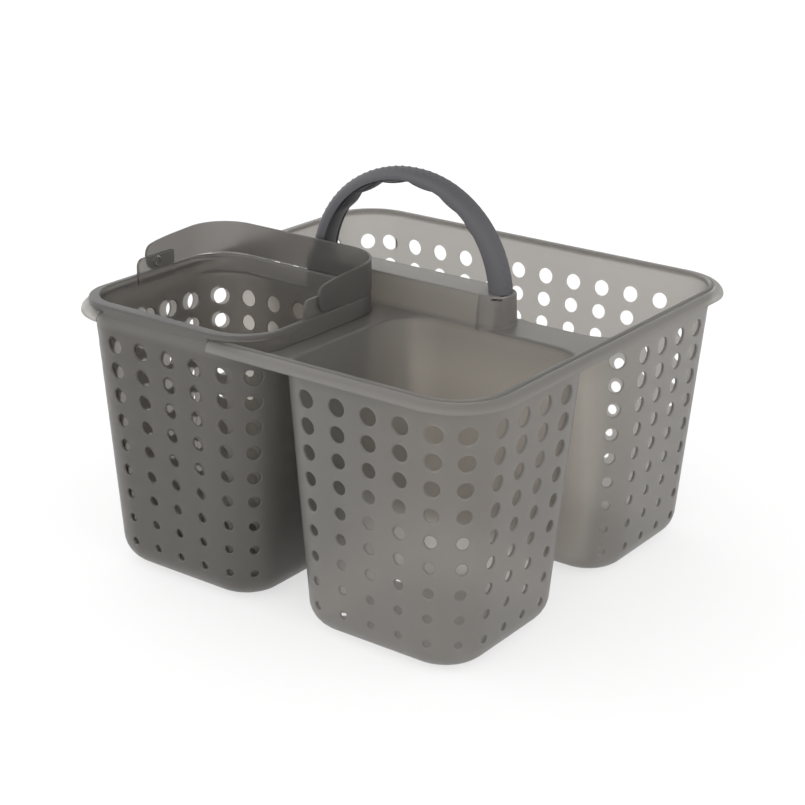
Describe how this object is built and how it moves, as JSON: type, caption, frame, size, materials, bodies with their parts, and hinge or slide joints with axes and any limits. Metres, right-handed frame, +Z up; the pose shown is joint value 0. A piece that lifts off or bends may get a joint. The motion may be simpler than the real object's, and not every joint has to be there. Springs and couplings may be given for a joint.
{
  "type": "shower caddy",
  "caption": "Moulded shower caddy with perforated open compartments, a fixed arched carrying handle with a soft grip, and a lift-out basket with its own swing bail.",
  "frame": {"origin": "centre of the bounding box's footprint, on the plane of the floors it stands on", "axes": "+Z up, through the top of the handle; +X along the handle and the long front edge, towards the single open pot at the front right; +Y from the two front pots towards the full-width back pot"},
  "size_m": [0.3002, 0.3026, 0.244],
  "materials": {
    "body_plastic": "smooth translucent smoke-grey polypropylene",
    "core_plastic": "dark grey moulded plastic",
    "grip_rubber": "soft matte overmoulded grip with small nubs",
    "basket_plastic": "smooth translucent smoke-grey polypropylene",
    "bail_plastic": "smooth translucent smoke-grey polypropylene"
  },
  "bodies": {
    "caddy": {"caddy_body": "body_plastic", "handle_core": "core_plastic", "handle_grip": "grip_rubber"},
    "basket": {"lift_out_basket": "basket_plastic"},
    "bail": {"basket_bail": "bail_plastic"}
  },
  "joints": [
    {"name": "basket_lift", "type": "slide", "parent": "caddy", "child": "basket", "axis": [0, 0, 1], "range_m": [0, 0.18]},
    {"name": "bail_swing", "type": "hinge", "parent": "basket", "child": "bail", "pos_m": [-0.0729, -0.0764, 0.1782], "axis": [1, 0, 0], "range_deg": [0, 90]}
  ]
}
